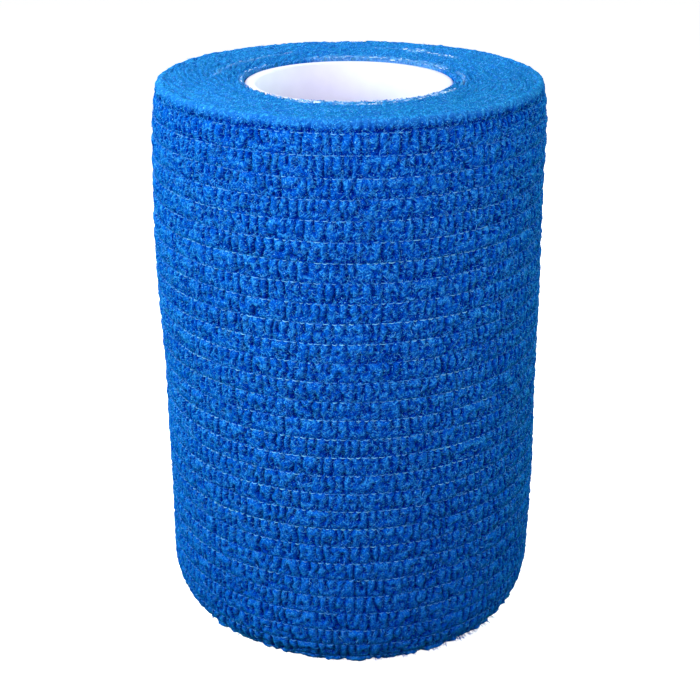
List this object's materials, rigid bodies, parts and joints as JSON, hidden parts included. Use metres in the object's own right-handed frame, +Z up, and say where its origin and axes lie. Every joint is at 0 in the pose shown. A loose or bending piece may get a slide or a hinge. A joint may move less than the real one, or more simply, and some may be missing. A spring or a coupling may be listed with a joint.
{
  "type": "cohesive bandage roll",
  "caption": "Crinkled elastic bandage wound in a tight roll on a plain open tube, standing on its end.",
  "frame": {"origin": "on the roll's axis, at the surface it stands on", "axes": "+Z up along the roll's axis and the bandage's width, -Y to the front, with the cut end of the bandage at the back near +Y"},
  "size_m": [0.0701, 0.0697, 0.1],
  "materials": {
    "bandage": "matt crinkled elastic crepe in mid blue, with fine fuzz and fine stitched elastic threads",
    "tube": "plain white, satin"
  },
  "bodies": {
    "root": {"bandage_roll": "bandage", "core_tube": "tube"}
  },
  "joints": []
}
